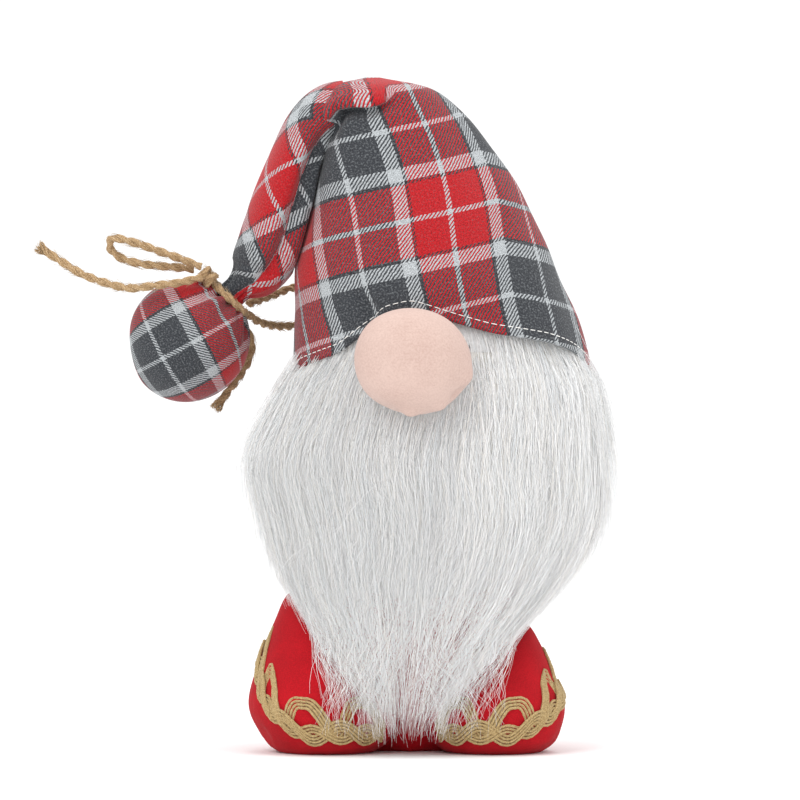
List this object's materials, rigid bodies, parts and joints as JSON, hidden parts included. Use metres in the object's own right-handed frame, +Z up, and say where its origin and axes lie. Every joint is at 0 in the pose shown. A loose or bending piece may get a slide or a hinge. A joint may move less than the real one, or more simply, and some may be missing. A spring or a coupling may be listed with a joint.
{
  "type": "tomte gnome figurine",
  "caption": "Stuffed cloth gnome with a folded plaid hat ending in a bobble tied with twine, a round nose, a long fur beard and braid-trimmed boots.",
  "frame": {"origin": "on the surface it stands on, under the middle of the body's flat base", "axes": "+Z up through the body, -Y out of the face, +X to the viewer's right when facing the gnome"},
  "size_m": [0.2138, 0.1334, 0.25],
  "materials": {
    "red_cotton": "matte",
    "plaid_flannel": "matte",
    "faux_fur": "matte",
    "knit_backing": "matte",
    "peach_fleece": "matte",
    "fibre_fill": "matte",
    "jute": "matte",
    "card": "matte",
    "pellets": "matte"
  },
  "bodies": {
    "body": {"body_cover": "red_cotton", "base_board": "card", "pellet_bag": "pellets", "body_stuffing": "fibre_fill", "hat_cone": "plaid_flannel", "hat_stuffing": "fibre_fill", "boot_left_cover": "red_cotton", "boot_left_insole": "card", "boot_left_stuffing": "fibre_fill", "boot_left_braid": "jute", "boot_right_cover": "red_cotton", "boot_right_insole": "card", "boot_right_stuffing": "fibre_fill", "boot_right_braid": "jute", "beard_backing": "knit_backing", "beard_pile": "faux_fur", "nose_cover": "peach_fleece", "nose_stuffing": "fibre_fill"},
    "tail": {"tail_cover": "plaid_flannel", "tail_stuffing": "fibre_fill"},
    "bobble": {"bobble_cover": "plaid_flannel", "bobble_stuffing": "fibre_fill", "twine_wrap": "jute", "twine_knot": "jute", "twine_loop_left": "jute", "twine_end_left": "jute", "twine_loop_right": "jute", "twine_end_right": "jute"}
  },
  "joints": [
    {"name": "tail_lift", "type": "hinge", "parent": "body", "child": "tail", "pos_m": [-0.03, 0, 0.236], "axis": [0, 1, 0], "range_deg": [0, 30]},
    {"name": "bobble_swing", "type": "hinge", "parent": "tail", "child": "bobble", "pos_m": [-0.0675, 0, 0.168], "axis": [0, 1, 0], "range_deg": [-20, 20]}
  ]
}
